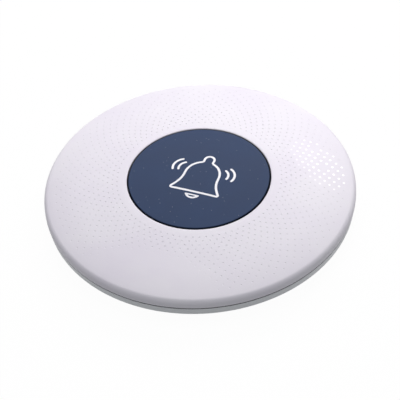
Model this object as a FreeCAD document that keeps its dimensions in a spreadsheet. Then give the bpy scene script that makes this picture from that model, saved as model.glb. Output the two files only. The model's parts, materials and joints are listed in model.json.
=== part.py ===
"""Waiter call button: a domed round puck with a flush button, millimetres, +Z up, origin on the table."""
import FreeCAD, Part
import math
import os
import Sketcher

DOCUMENT_NAME = "call_button"

# Driving sizes in millimetres, plus angles in degrees and counts
SIZES = (
    # Outer housing
    ("body_diameter", 88.0),
    ("parting_inset", 0.15),
    ("band_inset", 0.5),
    ("base_edge_inset", 5.1),
    ("foot_gap", 0.6),
    ("underside_rise", 2.8),
    ("base_side_height", 2.3),
    ("cover_side_height", 2.65),
    ("cover_wall", 1.6),
    ("side_wall", 1.9),
    ("base_floor_thickness", 1.6),
    ("base_inner_rise", 2.0),
    ("base_inner_inset", 4.1),
    ("rim_fillet", 1.5),
    ("rim_fillet_limit_share", 1.15),
    ("cover_edge_fillet", 0.3),
    ("band_fillet", 0.5),
    ("base_edge_fillet", 0.4),
    # Seal between the two shells
    ("seal_thickness", 0.25),
    ("seal_width", 1.45),
    ("seal_inset", 0.15),
    # Button opening and its guide
    ("opening_diameter", 40.54),
    ("opening_edge_fillet", 0.35),
    ("seat_thickness", 1.9),
    ("guide_depth", 1.1),
    ("guide_wall", 1.5),
    ("guide_clearance", 0.3),
    # Button cap
    ("cap_gap", 0.42),
    ("cap_thickness", 1.6),
    ("cap_skirt_wall", 1.3),
    ("cap_edge_fillet", 0.2),
    ("flange_overlap", 1.2),
    ("flange_thickness", 0.9),
    ("flange_clearance", 0.05),
    ("key_reach", 1.0),
    ("key_width", 3.0),
    ("key_clearance", 0.2),
    ("key_count", 3),
    ("stem_diameter", 3.2),
    ("stem_length", 0.7),
    ("press_travel", 0.8),
    ("plunger_travel", 0.25),
    ("press_play", 0.02),
    # Return dome
    ("dome_seat_diameter", 26.0),
    ("dome_seat_width", 2.6),
    ("dome_seat_height", 0.8),
    ("dome_crown_diameter", 16.0),
    ("dome_crown_width", 1.8),
    ("dome_crown_height", 0.6),
    ("dome_web", 0.7),
    ("dome_clearance", 0.05),
    # Circuit board and its screws
    ("board_thickness", 1.0),
    ("board_clearance", 1.4),
    ("board_hole_clearance", 0.15),
    ("board_screw_inset", 3.0),
    ("board_screw_count", 3),
    ("board_screw_angle", 100.0),
    ("board_screw_diameter", 1.6),
    ("board_screw_length", 4.4),
    ("board_screw_head_diameter", 3.2),
    ("board_screw_head_height", 1.0),
    ("board_post_diameter", 4.0),
    # Housing screws and bosses
    ("housing_screw_count", 4),
    ("housing_screw_angle", 75.0),
    ("housing_screw_diameter", 1.8),
    ("housing_screw_length", 5.0),
    ("housing_screw_head_diameter", 3.8),
    ("housing_screw_head_height", 1.1),
    ("boss_diameter", 5.2),
    ("boss_wall_gap", 6.7),
    ("pillar_diameter", 6.4),
    ("pillar_height", 1.2),
    ("screw_clearance", 0.05),
    ("pilot_spare", 0.5),
    ("recess_length_share", 0.7),
    ("recess_depth_share", 0.5),
    ("recess_width", 0.5),
    # Switch
    ("switch_width", 6.0),
    ("switch_height", 2.5),
    ("terminal_width", 0.7),
    ("terminal_reach", 1.0),
    ("terminal_thickness", 0.2),
    ("terminal_spacing", 4.5),
    ("plunger_diameter", 3.4),
    ("plunger_height", 0.5),
    ("plunger_depth", 1.2),
    ("plunger_clearance", 0.05),
    # Coin cell and its contacts
    ("cell_diameter", 20.0),
    ("cell_height", 3.2),
    ("cell_cap_inset", 1.2),
    ("cell_cap_height", 0.3),
    ("cell_clearance", 0.1),
    ("cell_side_clearance", 0.25),
    ("contact_height", 0.9),
    ("washer_thickness", 0.25),
    ("washer_inner_diameter", 4.0),
    ("washer_outer_diameter", 11.0),
    ("leaf_thickness", 0.2),
    ("leaf_width", 3.0),
    ("leaf_foot", 2.4),
    ("leaf_clearance", 0.03),
    ("leaf_angle", 180.0),
    ("leaf_bay_clearance", 0.5),
    ("leaf_bay_depth", 1.6),
    # Battery door
    ("door_recess", 0.2),
    ("door_margin", 2.3),
    ("door_clearance", 0.2),
    ("door_rim_wall", 1.3),
    ("door_rim_height", 0.9),
    ("lug_reach", 1.4),
    ("lug_clearance", 0.1),
    ("lug_width", 3.6),
    ("lug_notch_clearance", 0.3),
    ("chamber_clearance", 0.4),
    ("lug_count", 3),
    ("door_open_angle", 35.0),
    ("chamber_height", 1.3),
    ("cradle_height", 2.0),
    ("cradle_wall", 1.4),
    ("coin_slot_length", 16.0),
    ("coin_slot_width", 2.0),
    ("coin_slot_depth", 0.8),
    ("door_seal_section", 0.7),
    ("door_seal_slack", 0.05),
    # Foot ring
    ("foot_thickness", 1.2),
    ("foot_width", 12.5),
    ("foot_edge_gap", 1.4),
    ("foot_clearance", 0.2),
    ("foot_chamfer", 0.3),
    # Indicator dots and light guide
    ("dot_diameter", 0.64),
    ("dot_clearance", 0.02),
    ("dot_opening_gap", 2.88),
    ("dot_edge_gap", 3.0),
    ("dot_row_pitch", 1.34),
    ("dots_per_row", 80),
    ("dot_row_start_angle", 1.25),
    ("patch_inset", 9.6),
    ("patch_angle", 28.5),
    ("patch_length", 23.5),
    ("patch_width", 11.4),
    ("patch_tilt", 21.0),
    ("guide_plate_thickness", 1.2),
    ("guide_plate_margin", 0.8),
    ("guide_plate_gap", 0.05),
    ("guide_side_clearance", 0.3),
    ("stake_diameter", 1.1),
    ("stake_clearance", 0.1),
    ("stake_spare", 0.3),
    ("near_stake_along_share", -0.15),
    ("near_stake_aside_share", 0.03),
    ("far_stake_along_share", 0.53),
    ("far_stake_aside_share", 0.45),
    # Parts on the board
    ("led_width", 2.0),
    ("led_depth", 1.2),
    ("led_height", 0.8),
    ("led_lens_height", 0.2),
    ("led_lens_inset", 0.2),
    ("led_inset", 3.2),
    ("led_spread_angle", 8.0),
    ("chip_width", 4.0),
    ("chip_height", 0.9),
    ("chip_gap", 1.2),
    ("chip_turn", 50.0),
    ("crystal_length", 3.2),
    ("crystal_width", 2.5),
    ("crystal_height", 0.7),
    ("crystal_turn", 85.0),
    ("passive_length", 1.6),
    ("passive_width", 0.8),
    ("passive_height", 0.5),
    ("passive_count", 8),
    ("passive_turn", 136.0),
    ("passive_step_angle", 11.0),
    ("antenna_diameter", 3.4),
    ("antenna_bore", 2.2),
    ("antenna_length", 14.0),
    ("antenna_gap", 0.1),
    ("antenna_angle", 300.0),
    ("antenna_leg_diameter", 0.8),
    ("antenna_leg_inset", 1.0),
    # One overrun for every cut
    ("overrun", 0.5),
)

# Levels and radii worked out from the driving sizes
WORKED = (
    ("body_radius", "Sizes.body_diameter / 2"),
    ("inner_radius", "Worked.body_radius - Sizes.side_wall"),
    ("parting_radius", "Worked.body_radius - Sizes.parting_inset"),
    ("band_radius", "Worked.body_radius - Sizes.band_inset"),
    ("base_flat_radius", "Worked.body_radius - Sizes.base_edge_inset"),
    ("base_bottom", "Sizes.foot_gap"),
    ("floor_top", "Worked.base_bottom + Sizes.base_floor_thickness"),
    ("band_bottom", "Worked.base_bottom + Sizes.underside_rise"),
    ("base_top", "Worked.band_bottom + Sizes.base_side_height"),
    ("cover_bottom", "Worked.base_top + Sizes.seal_thickness"),
    ("rim_level", "Worked.cover_bottom + Sizes.cover_side_height"),
    ("cell_bottom", "Worked.floor_top + Sizes.cell_clearance"),
    ("cell_top", "Worked.cell_bottom + Sizes.cell_height"),
    ("board_bottom", "Worked.cell_top + Sizes.contact_height"),
    ("board_top", "Worked.board_bottom + Sizes.board_thickness"),
    ("switch_top", "Worked.board_top + Sizes.switch_height"),
    ("plunger_top", "Worked.switch_top + Sizes.plunger_height"),
    ("stem_bottom", "Worked.plunger_top + Sizes.press_travel - Sizes.plunger_travel + Sizes.press_play"),
    ("cap_underside", "Worked.stem_bottom + Sizes.stem_length"),
    ("crown", "Worked.cap_underside + Sizes.cap_thickness"),
    ("dome_rise", "Worked.crown - Worked.rim_level"),
    ("dome_radius", "(Worked.body_radius ^ 2 + Worked.dome_rise ^ 2) / (2 * Worked.dome_rise)"),
    ("dome_centre", "Worked.crown - Worked.dome_radius"),
    ("cover_inner_dome", "Worked.dome_radius - Sizes.cover_wall"),
    ("opening_radius", "Sizes.opening_diameter / 2"),
    ("opening_level", "Worked.dome_centre + sqrt(Worked.dome_radius ^ 2 - Worked.opening_radius ^ 2)"),
    ("seat_level", "Worked.opening_level - Sizes.seat_thickness"),
    ("cap_radius", "Worked.opening_radius - Sizes.cap_gap"),
    ("skirt_inner", "Worked.cap_radius - Sizes.cap_skirt_wall"),
    ("cap_inner_dome", "Worked.dome_radius - Sizes.cap_thickness"),
    ("cap_edge_level", "Worked.dome_centre + sqrt(Worked.dome_radius ^ 2 - Worked.cap_radius ^ 2)"),
    ("return_dome_top", "Worked.dome_centre - Sizes.dome_clearance"
                        " + sqrt(Worked.cap_inner_dome ^ 2 - (Sizes.dome_crown_diameter / 2) ^ 2)"),
    ("flange_radius", "Worked.opening_radius + Sizes.flange_overlap"),
    ("flange_top", "Worked.seat_level - Sizes.flange_clearance"),
    ("flange_bottom", "Worked.flange_top - Sizes.flange_thickness"),
    ("guide_inner", "Worked.flange_radius + Sizes.guide_clearance"),
    ("guide_outer", "Worked.guide_inner + Sizes.guide_wall"),
    ("guide_bottom", "Worked.seat_level - Sizes.guide_depth"),
    ("boss_radius", "Sizes.boss_diameter / 2"),
    ("boss_circle", "Worked.inner_radius - Sizes.boss_wall_gap - Worked.boss_radius"),
    ("pillar_top", "Worked.floor_top + Sizes.pillar_height"),
    ("boss_bottom", "Worked.pillar_top + Sizes.screw_clearance"),
    ("boss_top", "Worked.dome_centre + sqrt(Worked.cover_inner_dome ^ 2 - Worked.boss_circle ^ 2)"
                 " + Sizes.cover_wall / 2"),
    ("board_radius", "Worked.boss_circle - Worked.boss_radius - Sizes.board_clearance"),
    ("board_screw_circle", "Worked.board_radius - Sizes.board_screw_inset"),
    ("screw_seat", "Sizes.foot_thickness + Sizes.housing_screw_head_height + Sizes.screw_clearance"),
    ("foot_outer", "Worked.base_flat_radius - Sizes.foot_edge_gap"),
    ("foot_inner", "Worked.foot_outer - Sizes.foot_width"),
    ("foot_groove_inner", "Worked.foot_inner - Sizes.foot_clearance"),
    ("foot_groove_outer", "Worked.foot_outer + Sizes.foot_clearance"),
    ("cell_radius", "Sizes.cell_diameter / 2"),
    ("cradle_inner", "Worked.cell_radius + Sizes.cell_side_clearance"),
    ("door_radius", "Worked.cell_radius + Sizes.door_margin"),
    ("door_bore", "Worked.door_radius + Sizes.door_clearance"),
    ("door_bottom", "Worked.base_bottom + Sizes.door_recess"),
    ("door_middle", "(Worked.door_bottom + Worked.floor_top) / 2"),
    ("door_seal_ring", "Worked.door_bore - Sizes.door_seal_section / 2 - Sizes.door_seal_slack"),
    ("door_rim_top", "Worked.floor_top + Sizes.door_rim_height"),
    ("lug_outer", "Worked.door_radius + Sizes.lug_reach"),
    ("chamber_radius", "Worked.lug_outer + Sizes.chamber_clearance"),
    ("chamber_top", "Worked.floor_top + Sizes.chamber_height"),
    ("cradle_top", "Worked.chamber_top + Sizes.cradle_height"),
    ("cradle_outer", "Worked.chamber_radius + Sizes.cradle_wall"),
    ("antenna_circle", "(Worked.cradle_outer + Worked.board_radius) / 2"),
    ("chip_circle", "(Sizes.dome_seat_diameter + Sizes.chip_width) / 2 + Sizes.chip_gap"),
    ("dot_first_row", "Worked.opening_radius + Sizes.dot_opening_gap"),
    ("dot_last_row", "Worked.body_radius - Sizes.dot_edge_gap"),
    ("patch_circle", "Worked.body_radius - Sizes.patch_inset"),
    ("guide_zone_inner", "Worked.guide_outer + Sizes.guide_side_clearance"),
    ("guide_zone_outer", "Worked.inner_radius - Sizes.guide_side_clearance"),
)

Z_AXIS = FreeCAD.Vector(0, 0, 1)

doc = FreeCAD.newDocument(DOCUMENT_NAME)


def fill_sheet(name, rows, prefix):
    """Put named cells in a spreadsheet, one row each."""
    sheet = doc.addObject("Spreadsheet::Sheet", name)
    for row, (alias, content) in enumerate(rows, start=1):
        cell = f"A{row}"
        sheet.set(cell, f"{prefix}{content}")
        sheet.setAlias(cell, alias)
    return sheet


sizes = fill_sheet("Sizes", SIZES, "")
worked = fill_sheet("Worked", WORKED, "=")
doc.recompute()


def number(expression):
    """Value of an expression on the sheets."""
    return float(sizes.evalExpression(expression))


def polar(radius, angle):
    """X and Y of a point given by distance and angle, both as expressions."""
    return f"({radius}) * cos(({angle}) * 1deg)", f"({radius}) * sin(({angle}) * 1deg)"


def origin_feature(body, role):
    """The body's own plane or axis with this role."""
    return next(feature for feature in body.Origin.OriginFeatures if feature.Role == role)


def new_body(label):
    """An empty body that becomes the node of this name."""
    body = doc.addObject("PartDesign::Body", label)
    body.Label = label
    return body


def new_sketch(body, name, role, level=None):
    """A sketch on one of the body's planes, lifted to a level."""
    sketch = body.newObject("Sketcher::SketchObject", name)
    sketch.AttachmentSupport = (origin_feature(body, role), [""])
    sketch.MapMode = "FlatFace"
    if level is not None:
        sketch.setExpression("AttachmentOffset.Base.z", level)
    return sketch


def hold(sketch, kind, geometry, point, expression, name):
    """Bind one coordinate of a point, measured from the origin, to an expression."""
    value = number(expression)
    index = sketch.addConstraint(Sketcher.Constraint(kind, -1, 1, geometry, point, value))
    sketch.renameConstraint(index, name)
    sketch.setExpression(f"Constraints.{name}", expression)


def hold_radius(sketch, geometry, expression, name):
    """Bind the radius of a circle or arc to an expression."""
    index = sketch.addConstraint(Sketcher.Constraint("Radius", geometry, number(expression)))
    sketch.renameConstraint(index, name)
    sketch.setExpression(f"Constraints.{name}", expression)


def add_loop(sketch, corners, tag="p"):
    """Closed outline of straight edges and arcs centred on the upright axis.

    A corner is (across, up) or (across, up, centre, radius), where the last two say that the edge to the
    next corner is an arc. A corner with no height lies on the arc beside it.
    """
    count = len(corners)
    first = sketch.GeometryCount
    arcs = [corner[2:] if len(corner) > 2 else None for corner in corners]
    points = []
    for index, corner in enumerate(corners):
        across = number(corner[0])
        if corner[1] is None:
            centre, radius = arcs[index] or arcs[index - 1]
            up = number(centre) + math.sqrt(number(radius) ** 2 - across ** 2)
        else:
            up = number(corner[1])
        points.append(FreeCAD.Vector(across, up, 0))
    starts = []
    ends = []
    for index in range(count):
        begin = points[index]
        finish = points[(index + 1) % count]
        if arcs[index] is None:
            sketch.addGeometry(Part.LineSegment(begin, finish), False)
            starts.append(1)
            ends.append(2)
            continue
        centre, radius = arcs[index]
        middle = FreeCAD.Vector(0, number(centre), 0)
        angle_begin = math.atan2(begin.y - middle.y, begin.x)
        angle_finish = math.atan2(finish.y - middle.y, finish.x)
        circle = Part.Circle(middle, Z_AXIS, number(radius))
        low, high = sorted((angle_begin, angle_finish))
        sketch.addGeometry(Part.ArcOfCircle(circle, low, high), False)
        starts.append(1 if angle_begin < angle_finish else 2)
        ends.append(2 if angle_begin < angle_finish else 1)
    for index in range(count):
        edge = first + index
        before = (index - 1) % count
        corner = (first + before, ends[before], edge, starts[index])
        sketch.addConstraint(Sketcher.Constraint("Coincident", *corner))
        if arcs[index] is not None:
            sketch.addConstraint(Sketcher.Constraint("PointOnObject", edge, 3, -2))
            hold(sketch, "DistanceY", edge, 3, arcs[index][0], f"{tag}_centre_{index}")
            hold_radius(sketch, edge, arcs[index][1], f"{tag}_radius_{index}")
        if corners[index][0] == "0":
            sketch.addConstraint(Sketcher.Constraint("PointOnObject", edge, starts[index], -2))
        else:
            hold(sketch, "DistanceX", edge, starts[index], corners[index][0], f"{tag}_across_{index}")
        if corners[index][1] is not None:
            hold(sketch, "DistanceY", edge, starts[index], corners[index][1], f"{tag}_up_{index}")


def add_circle(sketch, place, radius, tag="c"):
    """A circle whose centre and radius follow expressions."""
    centre = FreeCAD.Vector(number(place[0]), number(place[1]), 0)
    index = sketch.addGeometry(Part.Circle(centre, Z_AXIS, number(radius)), False)
    hold(sketch, "DistanceX", index, 3, place[0], f"{tag}_x")
    hold(sketch, "DistanceY", index, 3, place[1], f"{tag}_y")
    hold_radius(sketch, index, radius, f"{tag}_radius")


def add_rectangle(sketch, near, far, width, tag="r"):
    """A rectangle along the X axis from near to far, centred across."""
    add_loop(sketch, [
        (near, f"-({width}) / 2"),
        (far, f"-({width}) / 2"),
        (far, f"({width}) / 2"),
        (near, f"({width}) / 2"),
    ], tag)


def lathe(body, corners, name="profile"):
    """Turn an outline about the upright axis."""
    sketch = new_sketch(body, name, "XZ_Plane")
    add_loop(sketch, corners)
    feature = body.newObject("PartDesign::Revolution", f"{name}_turn")
    feature.Profile = sketch
    feature.ReferenceAxis = (sketch, ["V_Axis"])
    feature.Angle = 360
    doc.recompute()
    return feature


def extrude(body, kind, sketch, length, reverse=False):
    """Pad or pocket of a sketch by a length."""
    feature = body.newObject(f"PartDesign::{kind}", f"{sketch.Name}_{kind}")
    feature.Profile = sketch
    feature.Reversed = reverse
    feature.setExpression("Length", length)
    doc.recompute()
    return feature


def polar_copies(body, features, count, name):
    """Repeat features evenly round the upright axis."""
    pattern = body.newObject("PartDesign::PolarPattern", name)
    pattern.Originals = features
    pattern.Axis = (origin_feature(body, "Z_Axis"), [""])
    pattern.Angle = 360
    pattern.setExpression("Occurrences", count)
    body.Tip = pattern
    doc.recompute()
    return pattern


def round_edges(body, rings, radius, name):
    """Fillet the circular edges that lie at the given radii and levels."""
    base = body.Tip
    tolerance = number("Sizes.screw_clearance") / 5
    wanted = []
    for index, edge in enumerate(base.Shape.Edges, start=1):
        if edge.Degenerated or not isinstance(edge.Curve, Part.Circle):
            continue
        curve = edge.Curve
        for ring_radius, ring_level in rings:
            near_radius = abs(curve.Radius - number(ring_radius)) < tolerance
            near_level = abs(curve.Center.z - number(ring_level)) < tolerance
            if near_radius and near_level:
                wanted.append(f"Edge{index}")
    feature = body.newObject("PartDesign::Fillet", name)
    feature.Base = (base, wanted)
    feature.setExpression("Radius", radius)
    body.Tip = feature
    doc.recompute()
    return feature


def cylinder(name, radius, height, place=("0", "0", "0")):
    """A Part cylinder whose sizes and place follow expressions."""
    shape = doc.addObject("Part::Cylinder", name)
    shape.setExpression("Radius", radius)
    shape.setExpression("Height", height)
    put(shape, place)
    return shape


def box(name, length, width, height, middle, angle="0"):
    """A Part box stood on its middle point and turned about the upright axis."""
    shape = doc.addObject("Part::Box", name)
    shape.setExpression("Length", length)
    shape.setExpression("Width", width)
    shape.setExpression("Height", height)
    shape.setExpression("Placement.Rotation.Angle", f"({angle}) * 1deg")
    turn_x = f"cos(({angle}) * 1deg)"
    turn_y = f"sin(({angle}) * 1deg)"
    corner_x = f"({middle[0]}) - ({length}) / 2 * {turn_x} + ({width}) / 2 * {turn_y}"
    corner_y = f"({middle[1]}) - ({length}) / 2 * {turn_y} - ({width}) / 2 * {turn_x}"
    put(shape, (corner_x, corner_y, middle[2]))
    return shape


def put(shape, place):
    """Bind an object's position to three expressions."""
    for axis, expression in zip("xyz", place):
        shape.setExpression(f"Placement.Base.{axis}", expression)


def fuse(name, shapes):
    """Join primitives into one solid."""
    union = doc.addObject("Part::MultiFuse", name)
    union.Shapes = shapes
    union.Refine = True
    return union


def cut(name, base, tool):
    """Take one object from another."""
    result = doc.addObject("Part::Cut", name)
    result.Base = base
    result.Tool = tool
    return result


def group(name, shapes):
    """Keep separate solids together in one node."""
    compound = doc.addObject("Part::Compound", name)
    compound.Links = shapes
    return compound


DOME = ("Worked.dome_centre", "Worked.dome_radius")
COVER_INSIDE = ("Worked.dome_centre", "Worked.cover_inner_dome")
CAP_INSIDE = ("Worked.dome_centre", "Worked.cap_inner_dome")


def patch_dots():
    """Centres of the indicator dots and of the two stakes, from the staggered rows of the dome."""
    radius = number("Worked.patch_circle")
    angle = math.radians(number("Sizes.patch_angle"))
    tilt = angle + math.radians(number("Sizes.patch_tilt"))
    middle = FreeCAD.Vector(radius * math.cos(angle), radius * math.sin(angle), 0)
    half_length = number("Sizes.patch_length") / 2
    half_width = number("Sizes.patch_width") / 2
    step = 2 * math.pi / number("Sizes.dots_per_row")
    start = math.radians(number("Sizes.dot_row_start_angle"))
    first_row = number("Worked.dot_first_row")
    row_pitch = number("Sizes.dot_row_pitch")
    row_count = 1 + math.floor((number("Worked.dot_last_row") - first_row) / row_pitch)
    nearest_dot = number("Worked.guide_zone_inner + Sizes.dot_diameter / 2")
    farthest_dot = number("Worked.guide_zone_outer - Sizes.dot_diameter / 2")
    dots = []
    for row in range(row_count):
        row_radius = first_row + row * row_pitch
        if not nearest_dot < row_radius < farthest_dot:
            continue
        for place in range(int(number("Sizes.dots_per_row"))):
            turn = start + (place + (row % 2) / 2) * step
            point = FreeCAD.Vector(row_radius * math.cos(turn), row_radius * math.sin(turn), 0)
            offset = point - middle
            along = -offset.x * math.sin(tilt) + offset.y * math.cos(tilt)
            aside = offset.x * math.cos(tilt) + offset.y * math.sin(tilt)
            if (along / half_length) ** 2 + (aside / half_width) ** 2 < 1:
                dots.append((point, along, aside))
    stakes = []
    for stake in ("near", "far"):
        along = half_length * number(f"Sizes.{stake}_stake_along_share")
        aside = half_width * number(f"Sizes.{stake}_stake_aside_share")
        nearest = min(dots, key=lambda dot: math.hypot(dot[1] - along, dot[2] - aside))
        stakes.append(nearest[0])
        dots.remove(nearest)
    return middle, tilt, [dot[0] for dot in dots], stakes


def rods(name, points, radius, bottom, height):
    """Upright rods of one size on a set of points."""
    feature = doc.addObject("Part::Feature", name)
    feature.Shape = Part.Compound([
        Part.makeCylinder(number(radius), height, FreeCAD.Vector(point.x, point.y, bottom), Z_AXIS)
        for point in points])
    return feature


def top_cover(dots, stakes):
    """White domed shell with opening, cap guide, screw bosses, indicator holes and stakes."""
    body = new_body("cover_shell")
    lathe(body, [
        ("Worked.opening_radius", None) + DOME,
        ("Worked.body_radius", None),
        ("Worked.body_radius", "Worked.cover_bottom"),
        ("Worked.inner_radius", "Worked.cover_bottom"),
        ("Worked.inner_radius", None) + COVER_INSIDE,
        ("Worked.guide_outer", None),
        ("Worked.guide_outer", "Worked.guide_bottom"),
        ("Worked.guide_inner", "Worked.guide_bottom"),
        ("Worked.guide_inner", "Worked.seat_level"),
        ("Worked.opening_radius", "Worked.seat_level"),
    ])
    round_edges(body, [("Worked.body_radius", "Worked.rim_level")],
                "min(Sizes.rim_fillet; Sizes.cover_side_height * Sizes.rim_fillet_limit_share)", "rim_round")
    round_edges(body, [("Worked.opening_radius", "Worked.opening_level")],
                "Sizes.opening_edge_fillet", "opening_round")
    round_edges(body, [("Worked.body_radius", "Worked.cover_bottom")],
                "Sizes.cover_edge_fillet", "lower_round")

    place = polar("Worked.boss_circle", "Sizes.housing_screw_angle")
    boss = new_sketch(body, "boss", "XY_Plane", "Worked.boss_bottom")
    add_circle(boss, place, "Worked.boss_radius")
    post = extrude(body, "Pad", boss, "Worked.boss_top - Worked.boss_bottom")
    pilot = new_sketch(body, "boss_pilot", "XY_Plane", "Worked.boss_bottom")
    add_circle(pilot, place, "Sizes.housing_screw_diameter / 2 + Sizes.screw_clearance")
    hole = extrude(body, "Pocket", pilot, "Worked.screw_seat + Sizes.housing_screw_length"
                   " + Sizes.pilot_spare - Worked.boss_bottom", reverse=True)
    polar_copies(body, [post, hole], "Sizes.housing_screw_count", "bosses")

    notch = new_sketch(body, "key_notch", "XY_Plane", "Worked.guide_bottom")
    add_rectangle(notch, "Worked.guide_inner - Sizes.overrun", "Worked.guide_outer + Sizes.overrun",
                  "Sizes.key_width + 2 * Sizes.key_clearance")
    slot = extrude(body, "Pocket", notch, "Sizes.guide_depth", reverse=True)
    polar_copies(body, [slot], "Sizes.key_count", "key_notches")

    low = number("Worked.cover_bottom")
    holes = rods("indicator_holes", dots, "Sizes.dot_diameter / 2 + Sizes.dot_clearance",
                 low, number("Worked.crown + Sizes.overrun") - low)
    pierced = cut("pierced_cover", body, holes)
    pins = [stake_pin(index, point) for index, point in enumerate(stakes)]
    return fuse("top_cover", [pierced] + pins)


def stake_pin(index, point):
    """A pin that hangs from the middle of the dome's wall and passes through the light guide."""
    reach = math.hypot(point.x, point.y)
    root = number("Worked.dome_centre + Sizes.cover_wall / 2")
    root += math.sqrt(number("Worked.cover_inner_dome") ** 2 - reach ** 2)
    length = number("Sizes.cover_wall / 2 + Sizes.guide_plate_thickness + Sizes.stake_spare")
    return rods(f"stake_{index}", [point], "Sizes.stake_diameter / 2", root - length, length)


def light_guide(middle, tilt, dots, stakes):
    """Clear plate under the dome with a peg in each indicator hole."""
    outer = number("Worked.cover_inner_dome - Sizes.guide_plate_gap")
    inner = outer - number("Sizes.guide_plate_thickness")
    half_length = number("Sizes.patch_length / 2 + Sizes.guide_plate_margin")
    half_width = number("Sizes.patch_width / 2 + Sizes.guide_plate_margin")
    low = number("Worked.floor_top")
    height = number("Worked.crown") - low
    centre = FreeCAD.Vector(0, 0, number("Worked.dome_centre"))
    edge = Part.Ellipse(FreeCAD.Vector(0, 0, 0), half_length, half_width).toShape()
    blank = Part.Face(Part.Wire([edge])).extrude(Z_AXIS * height)
    blank.rotate(FreeCAD.Vector(0, 0, 0), Z_AXIS, math.degrees(tilt) + 90)
    blank.translate(FreeCAD.Vector(middle.x, middle.y, low))
    base = FreeCAD.Vector(0, 0, low)
    zone = Part.makeCylinder(number("Worked.guide_zone_outer"), height, base, Z_AXIS)
    zone = zone.cut(Part.makeCylinder(number("Worked.guide_zone_inner"), height, base, Z_AXIS))
    plate = blank.common(zone).common(Part.makeSphere(outer, centre)).cut(Part.makeSphere(inner, centre))
    peg_base = number("Worked.cover_bottom")
    pegs = [Part.makeCylinder(number("Sizes.dot_diameter / 2"), height,
                              FreeCAD.Vector(point.x, point.y, peg_base), Z_AXIS) for point in dots]
    middle_ball = Part.makeSphere((outer + inner) / 2, centre)
    surface_ball = Part.makeSphere(number("Worked.dome_radius"), centre)
    pegs = [peg.common(surface_ball).cut(middle_ball) for peg in pegs]
    holes = [Part.makeCylinder(number("Sizes.stake_diameter / 2 + Sizes.stake_clearance"), height,
                               FreeCAD.Vector(point.x, point.y, low), Z_AXIS) for point in stakes]
    guide = doc.addObject("Part::Feature", "light_guide")
    guide.Shape = plate.fuse(pegs).cut(Part.Compound(holes)).removeSplitter()
    return guide


def button_cap():
    """Slate cap with a domed top, a skirt with a catch flange, three keys and a press stem."""
    body = new_body("button_cap")
    lathe(body, [
        ("0", None) + DOME,
        ("Worked.cap_radius", None),
        ("Worked.cap_radius", "Worked.flange_top"),
        ("Worked.flange_radius", "Worked.flange_top"),
        ("Worked.flange_radius", "Worked.flange_bottom"),
        ("Worked.skirt_inner", "Worked.flange_bottom"),
        ("Worked.skirt_inner", None) + CAP_INSIDE,
        ("Sizes.stem_diameter / 2", None),
        ("Sizes.stem_diameter / 2", "Worked.stem_bottom"),
        ("0", "Worked.stem_bottom"),
    ])
    round_edges(body, [("Worked.cap_radius", "Worked.cap_edge_level")], "Sizes.cap_edge_fillet", "cap_round")
    key = new_sketch(body, "key", "XY_Plane", "Worked.flange_bottom")
    add_rectangle(key, "Worked.skirt_inner + Sizes.cap_skirt_wall / 2",
                  "Worked.flange_radius + Sizes.key_reach", "Sizes.key_width")
    tab = extrude(body, "Pad", key, "Sizes.flange_thickness")
    polar_copies(body, [tab], "Sizes.key_count", "keys")
    return body


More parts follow.
